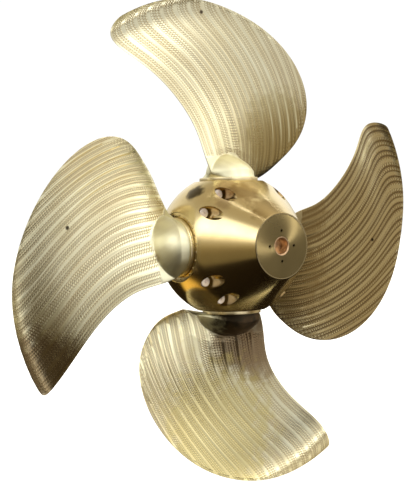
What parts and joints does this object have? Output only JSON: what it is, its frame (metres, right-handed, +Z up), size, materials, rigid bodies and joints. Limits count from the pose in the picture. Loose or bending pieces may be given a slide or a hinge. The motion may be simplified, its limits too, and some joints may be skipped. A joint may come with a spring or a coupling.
{
  "type": "ship propeller",
  "caption": "Controllable-pitch ship propeller: highly skewed bronze blades turning on a split round hub that tapers to a flat nose, with a forward shaft flange.",
  "frame": {"origin": "centre of the hub's forward shaft flange, on its face", "axes": "+Y along the shaft towards the ship, out of the flange face; -Y out of the flat nose; +Z up along the spindle of blade 1; blades 2 to 4 follow clockwise seen from the nose"},
  "size_m": [1.9308, 0.627, 1.9308],
  "materials": {
    "hub_bronze": "polished, turned",
    "ring_bronze": "turned",
    "blade_bronze": "milled in rows",
    "bush_copper": "bored",
    "bolt_bronze": "turned"
  },
  "bodies": {
    "hub": {"hub_aft_half": "hub_bronze", "hub_forward_half": "hub_bronze", "end_plate": "hub_bronze", "centre_bush": "bush_copper", "hub_bolt_1": "bolt_bronze", "hub_bolt_2": "bolt_bronze", "hub_bolt_3": "bolt_bronze", "hub_bolt_4": "bolt_bronze", "hub_bolt_5": "bolt_bronze", "hub_bolt_6": "bolt_bronze", "hub_bolt_7": "bolt_bronze", "hub_bolt_8": "bolt_bronze", "port_ring_1": "ring_bronze", "port_ring_2": "ring_bronze", "port_ring_3": "ring_bronze", "port_ring_4": "ring_bronze"},
    "pitch_blade_1": {"blade_palm_1": "blade_bronze", "blade_1": "blade_bronze"},
    "pitch_blade_2": {"blade_palm_2": "blade_bronze", "blade_2": "blade_bronze"},
    "pitch_blade_3": {"blade_palm_3": "blade_bronze", "blade_3": "blade_bronze"},
    "pitch_blade_4": {"blade_palm_4": "blade_bronze", "blade_4": "blade_bronze"}
  },
  "joints": [
    {"name": "blade_1_pitch", "type": "hinge", "parent": "hub", "child": "pitch_blade_1", "pos_m": [0, -0.3, 0], "axis": [0, 0, 1], "range_deg": [-22, 28]},
    {"name": "blade_2_pitch", "type": "hinge", "parent": "hub", "child": "pitch_blade_2", "pos_m": [0, -0.3, 0], "axis": [1, 0, 0], "range_deg": [-22, 28]},
    {"name": "blade_3_pitch", "type": "hinge", "parent": "hub", "child": "pitch_blade_3", "pos_m": [0, -0.3, 0], "axis": [0, 0, -1], "range_deg": [-22, 28]},
    {"name": "blade_4_pitch", "type": "hinge", "parent": "hub", "child": "pitch_blade_4", "pos_m": [0, -0.3, 0], "axis": [-1, 0, 0], "range_deg": [-22, 28]}
  ],
  "couplings": [
    {"joint": "blade_2_pitch", "follows": "blade_1_pitch", "ratio": 1},
    {"joint": "blade_3_pitch", "follows": "blade_1_pitch", "ratio": 1},
    {"joint": "blade_4_pitch", "follows": "blade_1_pitch", "ratio": 1}
  ]
}
